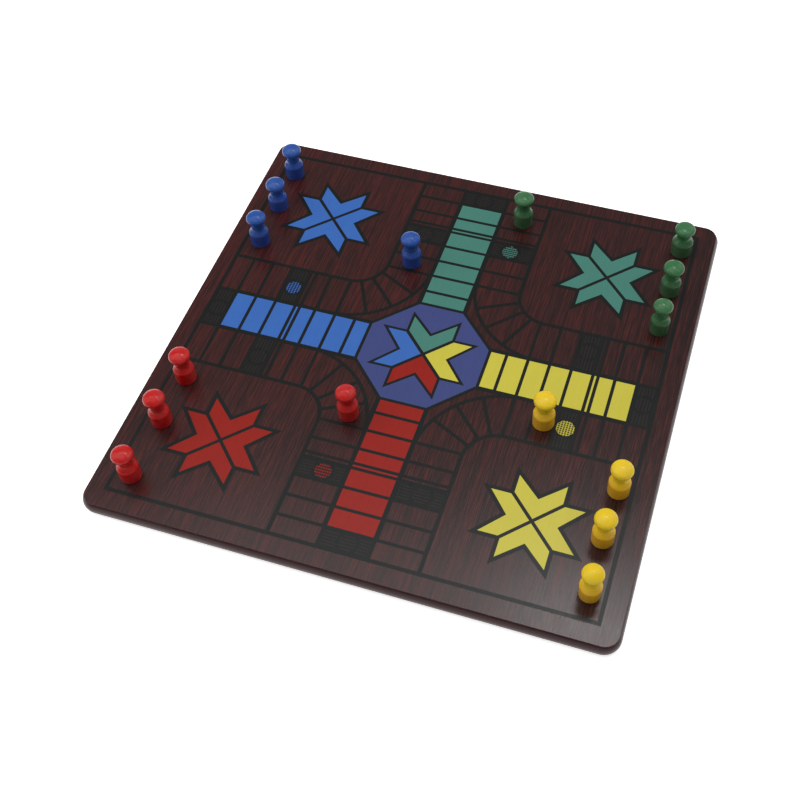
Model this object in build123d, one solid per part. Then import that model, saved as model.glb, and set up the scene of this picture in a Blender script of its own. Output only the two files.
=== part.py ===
from build123d import *
from math import acos, atan2, degrees, hypot
import os

# Board game for four players: a square wooden board, faced on both sides and swollen
# along its edge, with sixteen turned and painted pawns standing on its play side.
# Millimetres. The origin is the middle of the underside, +Z up. The blue arm of the
# printed cross points along -X, green along +Y, yellow along +X and red along -Y.

# Board
board_side = 300.0          # over the widest line of the edge
core_thickness = 9.0        # fibreboard
facing_thickness = 0.3      # wood-effect facing on each side
corner_radius = 9.7         # in plan, at the widest line of the edge
nose_depth = 1.7            # how far the edge swells out past the faces

# Printed layout on the play side, as far as the pawns are placed by it
frame_inset = 9.8           # edge of the facing to the outer edge of the printed frame
print_shift_x = -0.4        # the printing sits slightly off the middle of the board
print_shift_y = 0.5
middle_column = 28.8        # width of the coloured column of each arm
side_column = 28.0          # width of the two track columns beside it
row_pitch = 12.9            # from one line across the columns to the next
first_line = 47.5           # middle of the board to the first of those lines

# Turned pawn, the sizes that all sixteen share
foot_chamfer = 0.3          # worn edge round the foot
shoulder_rise = 2.8         # sloping shoulder, from the body up to the neck
neck_radius = 3.8
shoulder_rounding = 2.0     # radius between the body and the shoulder
neck_rounding = 2.5         # radius between the shoulder and the neck
throat_rounding = 1.5       # radius between the neck and the head

# Turned pawn, the sizes that differ a little. The heights of the body and of the neck's
# top are measured from the foot, the head's height from the neck's top. The crown is the
# share of the head above its widest line, and the rim is the rounding at that line.
usual_pawn = {
    "foot_radius": 6.1,
    "waist_radius": 6.1,
    "body_height": 9.5,
    "neck_top": 15.2,
    "head_radius": 6.2,
    "head_height": 8.9,
    "crown_share": 0.42,
    "rim_radius": 2.6,
}

# How each colour's batch differs from the usual pawn
batches = {
    "blue": {"neck_top": 15.5, "head_radius": 6.1, "head_height": 8.7, "crown_share": 0.44},
    "green": {"head_height": 8.6, "crown_share": 0.4, "rim_radius": 2.2},
    "red": {"neck_top": 14.9},
    "yellow": {"neck_top": 15.6, "crown_share": 0.44, "rim_radius": 2.8},
}

# The pawns that stand out from their batch
odd_pawns = {
    "blue_pawn_2": {"body_height": 8.9, "neck_top": 14.1},
    "green_pawn_1": {
        "foot_radius": 6.4, "waist_radius": 6.5, "neck_top": 14.3, "head_height": 7.7,
    },
    "green_pawn_3": {
        "foot_radius": 5.8, "waist_radius": 5.8, "head_radius": 5.8, "head_height": 9.3,
    },
    "red_pawn_2": {"neck_top": 15.5, "head_height": 9.2},
    "red_pawn_4": {"foot_radius": 5.9, "head_radius": 5.9, "neck_top": 14.4, "head_height": 9.2},
    "yellow_pawn_3": {"foot_radius": 5.8, "head_radius": 5.9, "neck_top": 16.0, "head_height": 9.5},
    "yellow_pawn_4": {"foot_radius": 6.3, "waist_radius": 6.3, "head_radius": 6.4},
}

# Home pawns stand in a row just inside the printed frame. Each place is measured in
# from the frame's outer edge: across the row first, then along it from the corner.
home_corners = {"blue": (-1, 1), "green": (1, 1), "red": (-1, -1), "yellow": (1, -1)}
home_places = {
    "blue": ((9.8, 18.0), (10.7, 48.7), (11.2, 80.9)),
    "green": ((9.2, 15.0), (9.7, 49.4), (10.0, 80.8)),
    "red": ((11.6, 83.1), (11.2, 51.1), (10.8, 12.9)),
    "yellow": ((8.8, 80.0), (10.4, 48.6), (9.6, 16.1)),
}

# The fourth pawn of each colour is in play on a track column. Each place is the arm's
# direction, which side of the arm, how many rows out past the first line, and how far
# the pawn stands off the middle of that cell, in X and Y.
track_places = {
    "blue": ("+Y", -1, 1.5, (-0.7, 0.5)),
    "green": ("+Y", 1, 5.5, (-0.1, 1.7)),
    "red": ("-Y", -1, 0.4, (1.3, -0.1)),
    "yellow": ("+X", -1, 2.5, (0.2, 1.5)),
}

face_side = board_side - 2 * nose_depth
face_corner = corner_radius - nose_depth
core_bottom = facing_thickness
core_top = core_bottom + core_thickness
play_height = core_top + facing_thickness
frame_half = face_side / 2 - frame_inset
track_offset = (middle_column + side_column) / 2


def facing(bottom):
    """A wood-effect facing, the outline of the flat face, from a given height up."""
    with BuildPart() as sheet:
        with BuildSketch(Plane.XY.offset(bottom)):
            RectangleRounded(face_side, face_side, face_corner)
        extrude(amount=facing_thickness)
    return sheet.part


def board_core():
    """The fibreboard, with the swollen edge run round it as one moulding."""
    with BuildPart() as core:
        with BuildSketch(Plane.XY.offset(core_bottom)) as outline:
            RectangleRounded(face_side, face_side, face_corner)
        extrude(amount=core_thickness)
        rim = outline.sketch.faces()[0].outer_wire()
        start = rim @ 0
        along = rim % 0
        outward = along.cross(Vector(0, 0, 1))
        with BuildSketch(Plane(origin=start, x_dir=outward, z_dir=-along)) as nose:
            with BuildLine():
                ThreePointArc(
                    (0, 0), (nose_depth, core_thickness / 2), (0, core_thickness)
                )
                Line((0, core_thickness), (0, 0))
            make_face()
        sweep(nose.sketch, path=rim)
    return core.part


def pawn_profile(
    foot_radius,
    waist_radius,
    body_height,
    neck_top,
    head_radius,
    head_height,
    crown_share,
    rim_radius,
):
    """Half the pawn's outline: body, sloping shoulder, neck and mushroom head."""
    height = neck_top + head_height
    crown_rise = crown_share * head_height
    widest = height - crown_rise
    rim_x = head_radius - rim_radius
    # The crown is one arc about the pawn's axis that runs smoothly into the rim.
    crown_radius = (rim_x**2 + crown_rise**2 - rim_radius**2) / (
        2 * (crown_rise - rim_radius)
    )
    crown_angle = degrees(atan2(crown_radius - crown_rise, rim_x))
    # The underside is a cone from the top of the neck that just touches the rim.
    reach = hypot(neck_radius - rim_x, widest - neck_top)
    below = degrees(atan2(neck_top - widest, neck_radius - rim_x))
    touch_angle = below + degrees(acos(rim_radius / reach))
    waist = (waist_radius, body_height)
    neck = (neck_radius, body_height + shoulder_rise)
    throat = (neck_radius, neck_top)
    with BuildLine() as outline:
        Polyline(
            (0, 0),
            (foot_radius - foot_chamfer, 0),
            (foot_radius, foot_chamfer),
            waist,
            neck,
            throat,
        )
        rim = CenterArc((rim_x, widest), rim_radius, touch_angle, crown_angle - touch_angle)
        Line(throat, rim @ 0)
        crown = CenterArc(
            (0, height - crown_radius), crown_radius, crown_angle, 90 - crown_angle
        )
        Line(crown @ 1, (0, 0))
        for corner, radius in (
            (waist, shoulder_rounding),
            (neck, neck_rounding),
            (throat, throat_rounding),
        ):
            fillet(outline.vertices().sort_by_distance((*corner, 0))[0], radius)
    return outline.line


def pawn(size, x, y):
    """A turned pawn standing on the play side at x, y."""
    with BuildPart() as turned:
        with BuildSketch(Plane.XZ):
            with BuildLine():
                add(pawn_profile(**size))
            make_face()
        revolve(axis=Axis.Z)
    return Pos(x, y, play_height) * turned.part


def home_place(colour, number):
    """Where a home pawn stands, in from its corner of the printed frame."""
    side, end = home_corners[colour]
    across, along = home_places[colour][number]
    x = print_shift_x + side * (frame_half - across)
    y = print_shift_y + end * (frame_half - along)
    return x, y


def track_place(colour):
    """Where the pawn in play stands, by its arm, its side of the arm and its row."""
    arm, side, rows_out, (off_x, off_y) = track_places[colour]
    outward = first_line + rows_out * row_pitch
    sign = 1 if arm[0] == "+" else -1
    if arm[1] == "Y":
        x, y = side * track_offset, sign * outward
    else:
        x, y = sign * outward, side * track_offset
    return print_shift_x + x + off_x, print_shift_y + y + off_y


os.makedirs("parts", exist_ok=True)
export_step(board_core(), "parts/board_core.step")
export_step(facing(core_top), "parts/play_side_facing.step")
export_step(facing(0), "parts/reverse_side_facing.step")
for colour, batch in batches.items():
    places = [home_place(colour, number) for number in range(len(home_places[colour]))]
    places.append(track_place(colour))
    for number, place in enumerate(places, start=1):
        name = f"{colour}_pawn_{number}"
        size = usual_pawn | batch | odd_pawns.get(name, {})
        export_step(pawn(size, *place), f"parts/{name}.step")
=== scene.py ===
from math import atan2, cos, pi, radians, sin

import bmesh
import bpy
from mathutils import Matrix, Vector
from mathutils.geometry import delaunay_2d_cdt


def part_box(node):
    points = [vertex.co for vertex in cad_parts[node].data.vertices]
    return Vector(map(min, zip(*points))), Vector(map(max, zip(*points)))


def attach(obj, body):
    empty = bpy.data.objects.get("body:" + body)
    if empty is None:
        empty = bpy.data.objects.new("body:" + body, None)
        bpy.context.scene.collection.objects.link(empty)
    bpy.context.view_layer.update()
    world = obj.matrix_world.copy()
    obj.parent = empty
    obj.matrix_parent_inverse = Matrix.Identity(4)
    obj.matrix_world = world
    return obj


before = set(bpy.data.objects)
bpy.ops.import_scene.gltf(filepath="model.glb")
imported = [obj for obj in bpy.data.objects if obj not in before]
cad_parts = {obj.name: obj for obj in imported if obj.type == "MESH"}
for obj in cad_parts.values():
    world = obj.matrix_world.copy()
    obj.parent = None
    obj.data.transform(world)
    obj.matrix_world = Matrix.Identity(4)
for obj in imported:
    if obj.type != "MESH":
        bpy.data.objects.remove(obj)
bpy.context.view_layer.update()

MM = 0.001

# The printed race game on the board's play side, in millimetres from the middle of the
# print. The green arm of the cross points along +Y. Names ending in LINE are line widths.
PRINT_MIDDLE = Vector((-0.4, 0.5))
FRAME_HALF = 138.5           # outer edge of the printed frame
FRAME_LINE = 2.35
INTO_FRAME = 1.0             # how far other lines run in under the frame's line
MIDDLE_HALF = 14.4           # out to the middle of the line beside an arm's middle column
MIDDLE_LINE = 2.7
SIDE_HALF = 42.4             # out to the middle of the line on a track column's far side
SIDE_LINE = 2.3
FIRST_ROW = 47.5             # out to the middle of the first line across the columns
ROW_PITCH = 12.9
ROW_LINE = 1.97
LAST_ROW = 6                 # rows are numbered from 0, out from the middle
SAFE_ROW = 3                 # safe squares lie between this row's line and the next
ECHO_OFFSET = 3.1            # the second line beside a row of safe squares
OCTAGON_FLAT = 36.3          # middle of the board to each of the octagon's straight sides
OCTAGON_CORNER = 13.7        # half the length of those sides
OCTAGON_LINE = 1.9
COLUMN_START = 0.9           # from those sides out to the middle of the columns' first line
BEND_RADIUS = 51.9           # the track's outer line, where it turns from arm to arm
BEND_LINE = 2.2
HOME_RADIUS = 20.2           # the rounded inner corner of each home
# The lines across the bend, each from its inner end to its outer end
SPOKES = (
    ((20.2, 42.7), (44.0, 54.25)),
    ((29.6, 29.6), (48.4, 48.4)),
    ((42.7, 20.2), (54.25, 44.0)),
)
STAR_AWAY = (90.0, 89.6)     # middle of each home star
STAR_SHIFT = -0.7            # all four home stars sit a little low
STAR_LINE = 2.3              # the black line round a home star
CENTRE_STAR_LINE = 1.65
STAR_TIP = (13.45, 26.1)     # the outer end of one chevron's right arm
STAR_SIDE = 14.9             # how far out that arm's straight side begins
STAR_NOTCH = 14.0            # how far out the arms meet, on the outside
STAR_APEX = 1.4              # how far out they meet, next to the middle of the star
TIP_GROWTH = 2.25            # how far a star's ground reaches past a tip, in line widths
NOTCH_GROWTH = 1.34          # and past a notch
RING_RADIUS = 5.9            # the ring in each shaded square
RING_LINE = 1.9
RING_SHIFT = -0.9            # rings and spots sit this far off the middle of their square
SCREEN_ROWS = 4              # lines of the shading on each side of a square's middle
SCREEN_ROW = 1.92            # pitch of those lines
SCREEN_GAP = 0.9             # height of the small windows between them
SCREEN_CROSS_LINE = 0.5
SCREEN_PITCH = 1.5           # pitch of the lines across them
ARC_STEP = 2.0               # a round line turns in steps about this long
ARC_LEAST = 6                # and in at least this many
SAME_CORNER = 1e-4           # corners nearer than this are made one
SAME_PLANE = 0.001           # faces that meet at less than this, in radians, are made one
PASS = 0.01                  # thickness of one pass of printing ink

# The way each colour's arm points, counted in quarter turns from +Y
ARMS = {"green": 0, "blue": 1, "red": 2, "yellow": 3}

BLACK_INK = "#161818"
THIN_BLACK_INK = "#2d2624"
INDIGO_INK = "#3d477a"
INKS = {"blue": "#3967b2", "green": "#467c70", "yellow": "#c6bc44", "red": "#901c13"}

PAWNS_EACH = 4

# Enamel on each colour's pawns: on the head, and on the body, a darker copy as painted shade
PAINTS = {
    "blue": ("#234f9d", "#224190"),
    "green": ("#376d43", "#335936"),
    "red": ("#be1412", "#ba0e0e"),
    "yellow": ("#ebc71f", "#e6ae1c"),
}

# The spot on each colour's own safe square, a patch of crossed lines: how far it sits off
# the middle of its square, its radius, the pitch and width of its lines along the row, and
# the pitch and width of the lines across them
SPOTS = {
    "blue": (-1.55, 4.65, (1.75, 0.5), (1.35, 0.2)),
    "green": (-1.1, 4.85, (1.6, 0.55), (1.45, 0.2)),
    "yellow": (-1.0, 5.2, (1.54, 0.54), (1.44, 0.44)),
    "red": (-0.9, 4.8, (1.8, 0.4), (1.4, 0.2)),
}

# How strongly the enamels and inks mirror what is round them, and the lacquer over the wood
SPECULAR = 0.21
WOOD_SPECULAR = 0.34

# The studio, in metres
FLOOR_HALF = 4.0
FLOOR_DROP = 0.05 * MM       # the floor is this far below the board's underside
FLOOR_GLOW = 0.67            # what the floor adds to its own colour, seen and mirrored
CEILING = 1.2                # height of the lamps above the table
ROOM_LIGHT = 0.29            # what the white room gives back, next to its own white


def linear(code):
    """A colour as it is written on a paint card, in the linear values that shaders use."""
    parts = [int(code[i : i + 2], 16) / 255 for i in (1, 3, 5)]
    return tuple(p / 12.92 if p <= 0.04045 else ((p + 0.055) / 1.055) ** 2.4 for p in parts) + (1,)


class Wire:
    """A value in a finish. Python's operators on it add Math nodes."""

    def __init__(self, finish, socket):
        self.finish = finish
        self.socket = socket

    def maths(self, operation, *values):
        return self.finish.node("ShaderNodeMath", {"operation": operation}, dict(enumerate(values)))

    def __add__(self, other):
        return self.maths("ADD", self, other)

    def __mul__(self, other):
        return self.maths("MULTIPLY", self, other)

    def __lt__(self, other):
        return self.maths("LESS_THAN", self, other)

    __radd__ = __add__
    __rmul__ = __mul__


class Nodes:
    """The nodes of a material or of the world, and the one way to add any node to them."""

    def __init__(self, owner):
        owner.use_nodes = True
        self.tree = owner.node_tree
        self.tree.nodes.clear()

    def node(self, kind, settings=None, sockets=None, output=0):
        made = self.tree.nodes.new(kind)
        for name, value in (settings or {}).items():
            if name == "stops":
                set_stops(made.color_ramp.elements, value)
            else:
                setattr(made, name, value)
        for name, value in (sockets or {}).items():
            if isinstance(value, Wire):
                self.tree.links.new(value.socket, made.inputs[name])
            else:
                made.inputs[name].default_value = value
        return Wire(self, made.outputs[output]) if made.outputs else None


class Finish(Nodes):
    """A material while it is made, on the places of its piece."""

    def __init__(self, name):
        self.material = bpy.data.materials.new(name)
        super().__init__(self.material)
        self.place = self.node("ShaderNodeTexCoord", output="Object")

    def noise(self, stretch, detail=2.0, rough=0.5):
        """Noise with so many features to the metre along each axis of the board."""
        spread = self.node("ShaderNodeMapping", None, {"Vector": self.place, "Scale": stretch})
        values = {"Vector": spread, "Scale": 1.0, "Detail": detail, "Roughness": rough}
        return self.node("ShaderNodeTexNoise", None, values)

    def ramp(self, value, *stops):
        return self.node("ShaderNodeValToRGB", {"stops": stops}, {"Fac": value})

    def fit(self, value, low, high, to_low=0.0, to_high=1.0):
        """The value, with low to high spread over to_low to to_high, and held beyond them."""
        limits = {"From Min": low, "From Max": high, "To Min": to_low, "To Max": to_high}
        return self.node("ShaderNodeMapRange", {"clamp": True}, {"Value": value, **limits})

    def mix(self, share, first, second):
        """The second colour over the first, as much of it as share says."""
        colours = {0: share, 6: first, 7: second}
        return self.node("ShaderNodeMix", {"data_type": "RGBA"}, colours, 2)

    def height(self):
        """How high the surface is above the table, in millimetres."""
        return self.node("ShaderNodeSeparateXYZ", None, {"Vector": self.place}, "Z") * (1 / MM)

    def specks(self, spacing, radius, share):
        """Small round specks: a few to each patch of that spacing, where share of them show."""
        spread = {"Vector": self.place, "Scale": 1 / (spacing * MM)}
        settings = {"voronoi_dimensions": "3D", "feature": "F1"}
        near = self.node("ShaderNodeTexVoronoi", settings, spread, "Distance")
        chance = self.node("ShaderNodeTexVoronoi", settings, spread, "Color")
        lucky = self.node("ShaderNodeSeparateColor", None, {"Color": chance}, "Red") < share
        return (near < radius / spacing) * lucky

    def bump(self, height, distance):
        return self.node("ShaderNodeBump", None, {"Height": height, "Distance": distance})

    def done(self, sockets):
        """Closes the tree with the shader, and gives the material."""
        usual = {"Specular IOR Level": SPECULAR}
        shader = self.node("ShaderNodeBsdfPrincipled", None, {**usual, **sockets})
        self.node("ShaderNodeOutputMaterial", None, {"Surface": shader})
        return self.material


def set_stops(stops, values):
    """Gives a ramp its stops, each a position and a colour."""
    while len(stops) < len(values):
        stops.new(1.0)
    for stop, (position, colour) in zip(stops, values):
        stop.position = position
        stop.color = colour


def rosewood(name):
    """Dark rosewood effect: black fibres over red brown along Y, under a satin lacquer."""
    wood = Finish(name)
    fibres = wood.noise((1750, 30, 30))
    pores = wood.noise((2600, 90, 90))
    bands = wood.noise((150, 8, 8))
    lines = wood.noise((850, 7, 7), detail=1.0)
    grain = fibres * 0.55 + pores * 0.35 + bands * 0.1
    across = wood.node("ShaderNodeSeparateXYZ", None, {"Vector": wood.place}, "X")
    redder = wood.fit(across, -0.15, 0.15, 0.02, -0.02)
    colour = wood.ramp(
        grain + redder,
        (0.38, linear("#221413")),
        (0.46, linear("#2d1615")),
        (0.54, linear("#3e1918")),
        (0.63, linear("#501c1a")),
    )
    veins = wood.fit(lines, 0.58, 0.66, 0.0, 0.5)
    veined = wood.mix(veins, colour, linear("#190e0e"))
    dust = wood.specks(spacing=19.0, radius=0.25, share=0.25)
    return wood.done({
        "Base Color": wood.mix(dust * 0.5, veined, linear("#9a928c")),
        "Roughness": wood.fit(pores, 0.3, 0.7, 0.22, 0.29),
        "Specular IOR Level": WOOD_SPECULAR,
        "Normal": wood.bump(grain, 0.006 * MM),
    })


def ink(name, code):
    """Screen ink over the wood, which shows through it only as a faint unevenness."""
    print_ink = Finish(name)
    fibres = print_ink.noise((1350, 75, 75), detail=3.0, rough=0.55)
    cloud = print_ink.noise((60, 60, 60))
    tone = print_ink.fit(fibres * 0.5 + cloud * 0.5, 0.35, 0.65)
    deep, pale = (tuple(c * k for c in linear(code)[:3]) + (1,) for k in (0.97, 1.03))
    specks = print_ink.specks(spacing=11.0, radius=0.33, share=0.3)
    colour = print_ink.mix(tone, deep, pale)
    return print_ink.done({
        "Base Color": print_ink.mix(specks * 0.45, colour, linear("#2a2622")),
        "Roughness": print_ink.fit(fibres, 0.3, 0.7, 0.27, 0.34),
        "Normal": print_ink.bump(fibres, 0.008 * MM),
    })


def edge_shade_and_lacquer(name):
    """The board's rounded edge: brown lacquer, red where it thins at the upper arris, and painted
    shade.
    """
    edge = Finish(name)
    height = edge.height()
    cloud = edge.noise((220, 220, 900), detail=3.0)
    # Painted shade by height: darker from the middle up to a band under the arris, darkest at the
    # foot
    colour = edge.ramp(
        edge.fit(height + cloud * 0.5, 0.0, 10.0),
        (0.04, linear("#1f1213")),
        (0.12, linear("#3f2022")),
        (0.60, linear("#422022")),
        (0.86, linear("#33181a")),
        (0.92, linear("#291114")),
        (0.95, linear("#481718")),
    )
    return edge.done({
        "Base Color": colour,
        "Roughness": edge.fit(cloud, 0.3, 0.7, 0.26, 0.36),
        "Normal": edge.bump(cloud, 0.04 * MM),
    })


def paint(name, head_code, shaded_body_code):
    """Enamel on a turned pawn: fine lathe rings under it, and a deeper body colour as painted
    shade.
    """
    enamel = Finish(name)
    rings = enamel.noise((40, 40, 2600))
    skin = enamel.noise((700, 700, 700))
    cloud = enamel.noise((170, 170, 170))
    up_the_neck = enamel.fit(enamel.height(), 18.0, 23.0)
    # Painted shade: the body's darker colour gives way to the head's up the neck
    colour = enamel.mix(up_the_neck, linear(shaded_body_code), linear(head_code))
    worn = enamel.fit(cloud, 0.3, 0.7, 0.0, 0.1)
    return enamel.done({
        "Base Color": enamel.mix(worn, colour, linear("#8d8a84")),
        "Roughness": enamel.fit(skin, 0.3, 0.7, 0.20, 0.26),
        "Normal": enamel.bump(rings * 0.6 + skin * 0.4, 0.006 * MM),
    })


def strip(flat, start, end, width):
    """A straight printed line."""
    run = Vector(end) - Vector(start)
    middle = (Vector(start) + Vector(end)) / 2
    turn = Matrix.Rotation(atan2(run.y, run.x), 4, "Z")
    size = Matrix.Diagonal((run.length / 2, width / 2, 1, 1))
    place = Matrix.Translation((middle.x, middle.y, 0)) @ turn @ size
    bmesh.ops.create_grid(flat, x_segments=1, y_segments=1, size=1, matrix=place)


def block(flat, low, high):
    """A printed rectangle between two opposite corners."""
    middle = (low[0] + high[0]) / 2
    strip(flat, (middle, low[1]), (middle, high[1]), high[0] - low[0])


def arc(flat, centre, radius, width, start, turn):
    """A printed line round part of a circle: a cut across it, spun about the centre."""
    towards = Vector((cos(start), sin(start), 0))
    middle = Vector((*centre, 0))
    cut = [flat.verts.new(middle + towards * (radius + side * width / 2)) for side in (-1, 1)]
    edge = flat.edges.new(cut)
    steps = max(ARC_LEAST, round(radius * turn / ARC_STEP))
    bmesh.ops.spin(flat, geom=cut + [edge], cent=middle, axis=(0, 0, 1), angle=turn, steps=steps)


def outline(flat, corners, centre=(0, 0), turn=0.0):
    """A printed shape with straight sides, turned about a centre."""
    place = Matrix.Translation((*centre, 0)) @ Matrix.Rotation(turn, 4, "Z")
    flat.faces.new([flat.verts.new(place @ Vector((*corner, 0))) for corner in corners])


def four_ways(flat, draw):
    """Draws on the +Y arm, then turns the sheet a quarter, until all four arms have it."""
    for _ in range(4):
        draw(flat)
        turned = Matrix.Rotation(pi / 2, 3, "Z")
        bmesh.ops.rotate(flat, verts=flat.verts, cent=(0, 0, 0), matrix=turned)


def row(number):
    """How far out the line of that row is."""
    return FIRST_ROW + number * ROW_PITCH


def arm_lines(flat):
    """The black lines of one arm, and of the bend on its +X side."""
    column = MIDDLE_HALF + MIDDLE_LINE / 2
    last = row(LAST_ROW)
    home = SIDE_HALF + HOME_RADIUS
    end = FRAME_HALF - INTO_FRAME
    block(flat, (-column, OCTAGON_FLAT), (column, last))
    for side in (-1, 1):
        strip(flat, (side * MIDDLE_HALF, last), (side * MIDDLE_HALF, end), ROW_LINE)
        strip(flat, (side * SIDE_HALF, home), (side * SIDE_HALF, end), SIDE_LINE)
    for number in range(1, LAST_ROW + 1):
        strip(flat, (-SIDE_HALF, row(number)), (SIDE_HALF, row(number)), ROW_LINE)
    arc(flat, (home, home), HOME_RADIUS, SIDE_LINE, pi, pi / 2)
    bend = MIDDLE_HALF + BEND_RADIUS
    arc(flat, (bend, bend), BEND_RADIUS, BEND_LINE, pi, pi / 2)
    for inner, outer in SPOKES:
        strip(flat, inner, outer, BEND_LINE)
    half = FRAME_HALF - FRAME_LINE / 2
    strip(flat, (-FRAME_HALF, half), (FRAME_HALF, half), FRAME_LINE)


def screen(flat, low, high):
    """A square shaded with crossed lines, which leave rows of small windows of wood."""
    middle = ((low[0] + high[0]) / 2, (low[1] + high[1]) / 2)
    for number in range(SCREEN_ROWS):
        for side in (-1, 1):
            near = number * SCREEN_ROW + SCREEN_GAP / 2
            far = (number + 1) * SCREEN_ROW - SCREEN_GAP / 2
            level = middle[1] + side * (near + far) / 2
            strip(flat, (low[0], level), (high[0], level), far - near)
    count = round((high[0] - low[0]) / SCREEN_PITCH)
    for number in range(1, count):
        along = low[0] + number * (high[0] - low[0]) / count
        strip(flat, (along, low[1]), (along, high[1]), SCREEN_CROSS_LINE)
    arc(flat, (middle[0] + RING_SHIFT, middle[1]), RING_RADIUS, RING_LINE, 0, 2 * pi)


def safe_squares(flat, shade):
    """Shades one arm's squares: the one at its end and one on each track column."""
    shade(flat, (-MIDDLE_HALF, row(LAST_ROW)), (MIDDLE_HALF, FRAME_HALF - FRAME_LINE / 2))
    for low in (-SIDE_HALF, MIDDLE_HALF):
        shade(flat, (low, row(SAFE_ROW)), (low + SIDE_HALF - MIDDLE_HALF, row(SAFE_ROW + 1)))


def echo_lines(flat):
    """The second lines beside the safe squares. They all lie on the +X or the +Y side."""
    near = -row(SAFE_ROW) + ECHO_OFFSET
    far = row(SAFE_ROW + 1) + ECHO_OFFSET
    for level in (near, far):
        strip(flat, (-SIDE_HALF, level), (SIDE_HALF, level), ROW_LINE)
        strip(flat, (level, -SIDE_HALF), (level, SIDE_HALF), ROW_LINE)


def octagon(flat, grow):
    """The octagon in the middle, its straight sides moved out half as far as its corners."""
    side = OCTAGON_FLAT + grow * 0.5
    corner = OCTAGON_CORNER + grow
    points = [(corner, side), (-corner, side), (-side, corner), (-side, -corner)]
    outline(flat, points + [(-x, -y) for x, y in points])


def star_ground(flat, centre, line):
    """The black ground of a star: its silhouette, one line's width outside the chevrons."""
    side = STAR_TIP[0] + line
    tip = STAR_TIP[1] + TIP_GROWTH * line
    notch = STAR_NOTCH + NOTCH_GROWTH * line
    quarter = [(0, notch), (-side, tip), (-side, side), (-tip, side)]
    corners = []
    for turn in range(4):
        turned = Matrix.Rotation(turn * pi / 2, 2)
        corners += [turned @ Vector(corner) for corner in quarter]
    outline(flat, corners, centre)


def chevron(flat, centre, turn):
    """One coloured chevron of a star, its apex on the middle of the star."""
    right = [(STAR_TIP[0], STAR_SIDE), STAR_TIP]
    left = [(-x, y) for x, y in reversed(right)]
    outline(flat, [(0, STAR_APEX), *right, (0, STAR_NOTCH), *left], centre, turn)


def star_centre(colour):
    """The middle of a colour's home star, in the corner that a colour's own pawns stand in."""
    side_x = 1 if colour in ("green", "yellow") else -1
    side_y = 1 if colour in ("green", "blue") else -1
    return side_x * STAR_AWAY[0], side_y * STAR_AWAY[1] + STAR_SHIFT


def spot(flat, shift, radius, rows, links):
    """The round patch of crossed lines in the ring of a colour's own safe square."""
    middle = Vector(((MIDDLE_HALF + SIDE_HALF) / 2 + shift, row(SAFE_ROW) + ROW_PITCH / 2))
    for (pitch, width), along, across in (
        (rows, Vector((1, 0)), Vector((0, 1))),
        (links, Vector((0, 1)), Vector((1, 0))),
    ):
        reach = int(radius / pitch)
        for number in range(-reach, reach + 1):
            level = number * pitch
            half = (radius**2 - level**2) ** 0.5
            foot = middle + across * level
            strip(flat, foot - along * half, foot + along * half, width)


def colour_fills(flat, colour):
    """A colour's middle column, spot, home star and chevron of the centre star."""
    if colour in ("green", "yellow"):
        echo = row(SAFE_ROW + 1) + ECHO_OFFSET
    else:
        echo = row(SAFE_ROW) - ECHO_OFFSET
    rows = [row(number) for number in range(LAST_ROW + 1)]
    lines = sorted([OCTAGON_FLAT + COLUMN_START, echo, *rows])
    half = MIDDLE_HALF - MIDDLE_LINE / 2
    for low, high in zip(lines, lines[1:]):
        block(flat, (-half, low + ROW_LINE / 2), (half, high - ROW_LINE / 2))
    spot(flat, *SPOTS[colour])
    chevron(flat, (0, 0), 0)
    turned = Matrix.Rotation(ARMS[colour] * pi / 2, 3, "Z")
    bmesh.ops.rotate(flat, verts=flat.verts, cent=(0, 0, 0), matrix=turned)
    for turn in range(4):
        chevron(flat, star_centre(colour), turn * pi / 2)


def holds(corners, spot):
    """Whether a shape with these corners has the spot inside it."""
    inside = False
    for near, far in zip(corners, corners[1:] + corners[:1]):
        if (near.y > spot.y) != (far.y > spot.y):
            crossing = near.x + (spot.y - near.y) * (far.x - near.x) / (far.y - near.y)
            inside ^= spot.x < crossing
    return inside


def joined(points, shapes):
    """The shapes as triangles, joined where they overlap.

    A triangle in a gap between two lines is sometimes said to have a shape over it, so each
    triangle's middle is looked for inside the shapes that are named for it.
    """
    inside_only = 1
    places, _, faces, _, _, covering = delaunay_2d_cdt(
        points, [], shapes, inside_only, SAME_CORNER
    )
    outlines = [[points[corner] for corner in shape] for shape in shapes]
    kept = []
    for face, named in zip(faces, covering):
        middle = sum((places[corner] for corner in face), Vector((0, 0))) / len(face)
        if any(holds(outlines[shape], middle) for shape in named):
            kept.append(face)
    return places, kept


def printed(name, flat, passes, finish):
    """Lays a flat drawing on the board as ink. Shapes that overlap are joined first."""
    points, shapes = [], []
    for face in flat.faces:
        shapes.append(list(range(len(points), len(points) + len(face.verts))))
        points += [vert.co.xy + PRINT_MIDDLE for vert in face.verts]
    places, kept = joined(points, shapes)
    flat.clear()
    face_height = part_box("play_side_facing")[1].z
    corners = [flat.verts.new((*(place * MM), face_height)) for place in places]
    for face in kept:
        flat.faces.new([corners[index] for index in face])
    bmesh.ops.dissolve_limit(flat, angle_limit=SAME_PLANE, verts=flat.verts, edges=flat.edges)
    risen = bmesh.ops.extrude_face_region(flat, geom=flat.faces[:], use_keep_orig=True)
    top = [item for item in risen["geom"] if isinstance(item, bmesh.types.BMVert)]
    bmesh.ops.translate(flat, verts=top, vec=(0, 0, passes * PASS * MM))
    bmesh.ops.recalc_face_normals(flat, faces=flat.faces)
    mesh = bpy.data.meshes.new(name)
    flat.to_mesh(mesh)
    flat.free()
    mesh.materials.append(finish)
    piece = bpy.data.objects.new(name, mesh)
    bpy.context.scene.collection.objects.link(piece)
    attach(piece, "board")


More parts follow.
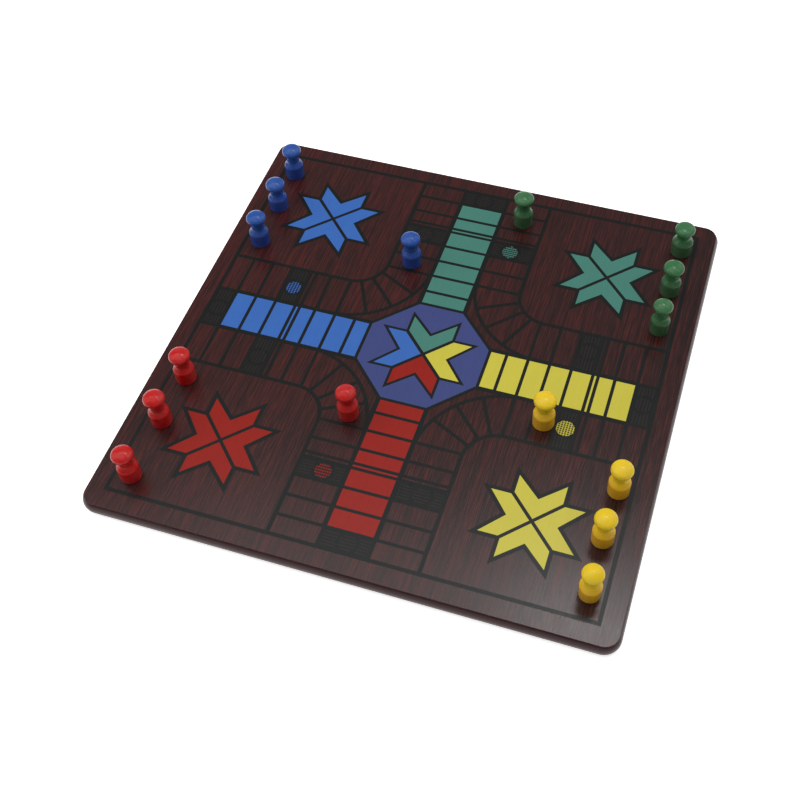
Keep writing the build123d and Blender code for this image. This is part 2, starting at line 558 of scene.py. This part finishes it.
def print_board():
    """All the printing on the play side, in the order of its passes."""
    black = ink("black_ink", BLACK_INK)
    shading = bmesh.new()
    four_ways(shading, lambda flat: safe_squares(flat, block))
    printed("shade_print", shading, 1, ink("thin_black_ink", THIN_BLACK_INK))

    ground = bmesh.new()
    four_ways(ground, arm_lines)
    four_ways(ground, lambda flat: safe_squares(flat, screen))
    echo_lines(ground)
    octagon(ground, OCTAGON_LINE)
    for colour in ARMS:
        star_ground(ground, star_centre(colour), STAR_LINE)
    printed("black_print", ground, 2, black)

    field = bmesh.new()
    octagon(field, 0)
    printed("indigo_print", field, 3, ink("indigo_ink", INDIGO_INK))

    centre = bmesh.new()
    star_ground(centre, (0, 0), CENTRE_STAR_LINE)
    printed("centre_star_print", centre, 4, black)

    for colour in ARMS:
        fills = bmesh.new()
        colour_fills(fills, colour)
        printed(colour + "_print", fills, 5, ink(colour + "_ink", INKS[colour]))


def finish_board():
    """Gives the board's own three pieces their finish."""
    finishes = {
        "board_core": edge_shade_and_lacquer("edge_shade_and_lacquer_finish"),
        "play_side_facing": rosewood("play_side_rosewood"),
        "reverse_side_facing": rosewood("reverse_side_rosewood"),
    }
    for node, finish in finishes.items():
        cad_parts[node].material_slots[0].material = finish


def finish_pawns():
    """Gives the pawns of each colour their enamel."""
    for colour, codes in PAINTS.items():
        finish = paint(colour + "_enamel", *codes)
        for number in range(1, PAWNS_EACH + 1):
            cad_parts[f"{colour}_pawn_{number}"].material_slots[0].material = finish


def stage():
    """A pale table top that goes on past the picture."""
    flat = bmesh.new()
    below = Matrix.Translation((0, 0, -FLOOR_DROP))
    bmesh.ops.create_grid(flat, x_segments=1, y_segments=1, size=FLOOR_HALF, matrix=below)
    mesh = bpy.data.meshes.new("floor")
    flat.to_mesh(mesh)
    flat.free()
    top = Finish("pale_table")
    seen = top.node("ShaderNodeLightPath", output="Is Camera Ray")
    mirrored = top.node("ShaderNodeLightPath", output="Is Glossy Ray")
    paper = {"Base Color": linear("#fafafa"), "Roughness": 0.9}
    strength = (seen + mirrored) * FLOOR_GLOW
    glow = {"Emission Color": (1, 1, 1, 1), "Emission Strength": strength}
    mesh.materials.append(top.done({**paper, **glow}))
    floor = bpy.data.objects.new("floor", mesh)
    bpy.context.scene.collection.objects.link(floor)


def lamp(name, place, aim, size, watts):
    """A rectangular panel of light that faces a place on the table."""
    data = bpy.data.lights.new(name, "AREA")
    data.shape = "RECTANGLE"
    data.size, data.size_y = size
    data.energy = watts
    made = bpy.data.objects.new(name, data)
    made.location = place
    made.rotation_euler = (Vector(aim) - Vector(place)).to_track_quat("-Z", "Y").to_euler()
    bpy.context.scene.collection.objects.link(made)


def lights():
    """A key light above the back of the board among wide dim panels, and two side boxes."""
    for name, across, back, size, watts in (
        ("key", 0.12, 0.36, (0.24, 0.22), 2.35),
        ("beside_key", -0.1, 0.36, (0.2, 0.22), 0.4),
        ("back_strip", 0.3, 0.36, (1.8, 0.22), 2.4),
        ("left_strip", -0.65, 0.15, (0.9, 0.2), 2.0),
        ("right_strip", 0.72, 0.15, (0.96, 0.2), 1.2),
        ("front_panel", -0.43, -0.3, (1.34, 0.7), 4.4),
    ):
        lamp(name, (across, back, CEILING), (across, back, 0), size, watts)
    lamp("back_box", (1.2, 1.5, 1.3), (0, 0, 0), (1.3, 1.3), 6.4)
    lamp("left_box", (-1.2, -0.35, 0.7), (0, 0, 0), (0.9, 0.9), 3.5)
    world = bpy.data.worlds.new("studio")
    sky = Nodes(world)
    seen = sky.node("ShaderNodeLightPath", output="Is Camera Ray")
    strength = seen * (1 - ROOM_LIGHT) + ROOM_LIGHT
    glow = sky.node("ShaderNodeBackground", None, {"Color": (1, 1, 1, 1), "Strength": strength})
    sky.node("ShaderNodeOutputWorld", None, {"Surface": glow})
    bpy.context.scene.world = world


def camera():
    """The viewpoint of the photograph."""
    data = bpy.data.cameras.new("camera")
    data.sensor_width = 36.0
    data.lens = 50.8
    data.shift_x = -0.0496
    data.shift_y = 0.0217
    data.clip_start = 0.01
    eye = Vector((0.1441, -0.3839, 0.5325))
    aim = Vector((0.0227, -0.0398, 0.0096))
    roll = radians(-2.29)
    turned = (aim - eye).to_track_quat("-Z", "Y").to_matrix() @ Matrix.Rotation(roll, 3, "Z")
    made = bpy.data.objects.new("camera", data)
    made.matrix_world = Matrix.Translation(eye) @ turned.to_4x4()
    bpy.context.scene.collection.objects.link(made)
    bpy.context.scene.camera = made


camera()
lights()
stage()
finish_board()
finish_pawns()
print_board()
bpy.context.scene.view_settings.view_transform = "Standard"
